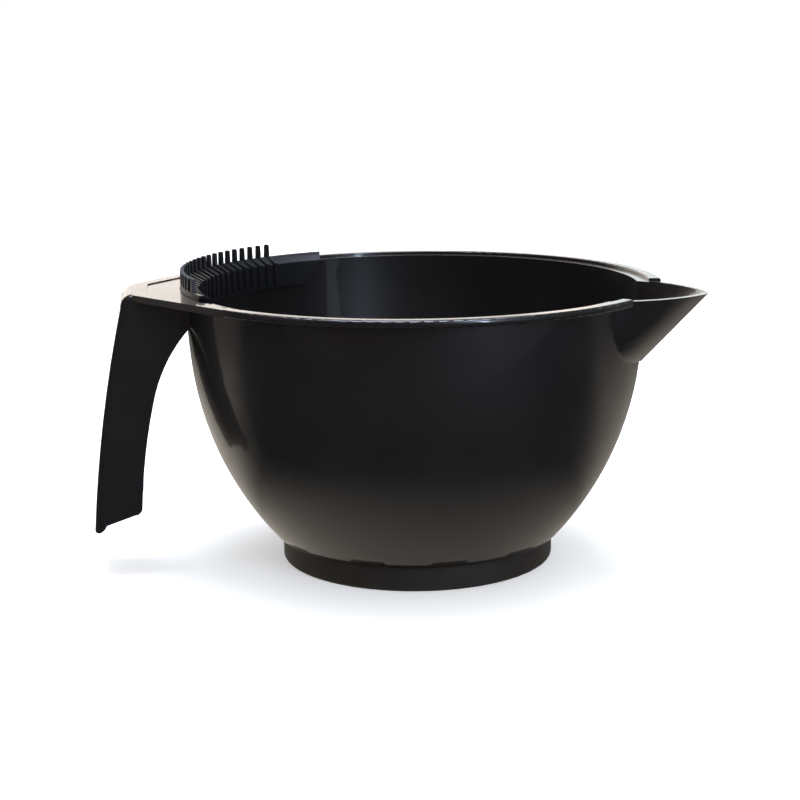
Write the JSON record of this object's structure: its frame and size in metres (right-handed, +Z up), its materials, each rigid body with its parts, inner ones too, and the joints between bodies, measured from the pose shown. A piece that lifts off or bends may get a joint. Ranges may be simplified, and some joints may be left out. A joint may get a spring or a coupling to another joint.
{
  "type": "hair color bowl",
  "caption": "Deep round mixing bowl with a pouring spout, a channel handle on a flat shelf, a comb strip inside the rim and a soft non-slip ring under the foot.",
  "frame": {"origin": "centre of the resting face, on the bowl's own axis", "axes": "+Z up along the bowl's axis; the handle points along -X; the spout is 26 degrees from +X towards -Y"},
  "size_m": [0.1681, 0.14, 0.0852],
  "materials": {
    "bowl_plastic": "polished injection-moulded black polypropylene",
    "comb_plastic": "semi-gloss injection-moulded black polypropylene",
    "base_rubber": "matte brown-black thermoplastic rubber"
  },
  "bodies": {
    "root": {"bowl_shell": "bowl_plastic", "brush_comb": "comb_plastic", "non_slip_base": "base_rubber"}
  },
  "joints": []
}
